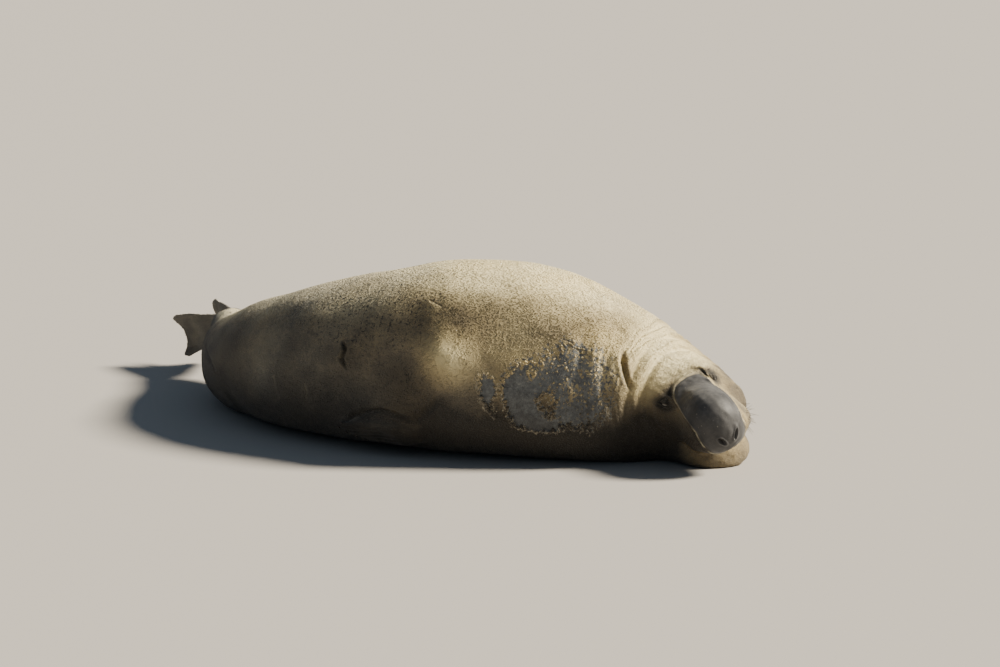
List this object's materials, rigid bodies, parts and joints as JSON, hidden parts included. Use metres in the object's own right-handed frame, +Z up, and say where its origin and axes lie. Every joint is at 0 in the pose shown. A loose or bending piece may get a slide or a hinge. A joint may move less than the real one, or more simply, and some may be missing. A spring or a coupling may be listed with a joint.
{
  "type": "elephant seal",
  "caption": "Life-size sleeping southern elephant seal, a still display model lying on its belly with its head turned to its right.",
  "frame": {"origin": "on the floor under the middle of the animal's bounding box", "axes": "+X along the animal towards its head, +Y to its left side, +Z up"},
  "size_m": [4.3676, 1.5236, 0.9661],
  "materials": {
    "coat": "short flat fur, worn and moulting in patches",
    "bare_skin": "dark, finely wrinkled skin",
    "eye": "wet and glossy",
    "nail": "dark horn, dull gloss"
  },
  "bodies": {
    "root": {"hindquarters": "coat", "belly": "coat", "chest": "coat", "neck": "coat", "head": "coat", "proboscis": "bare_skin", "lower_jaw": "coat", "eye_left": "eye", "eye_right": "eye", "fore_flipper_left": "coat", "fore_flipper_right": "coat", "hind_flipper_left": "bare_skin", "hind_flipper_right": "bare_skin", "tail": "coat", "nail_left_1": "nail", "nail_left_2": "nail", "nail_left_3": "nail", "nail_left_4": "nail", "nail_left_5": "nail", "nail_right_1": "nail", "nail_right_2": "nail", "nail_right_3": "nail", "nail_right_4": "nail", "nail_right_5": "nail"}
  },
  "joints": []
}
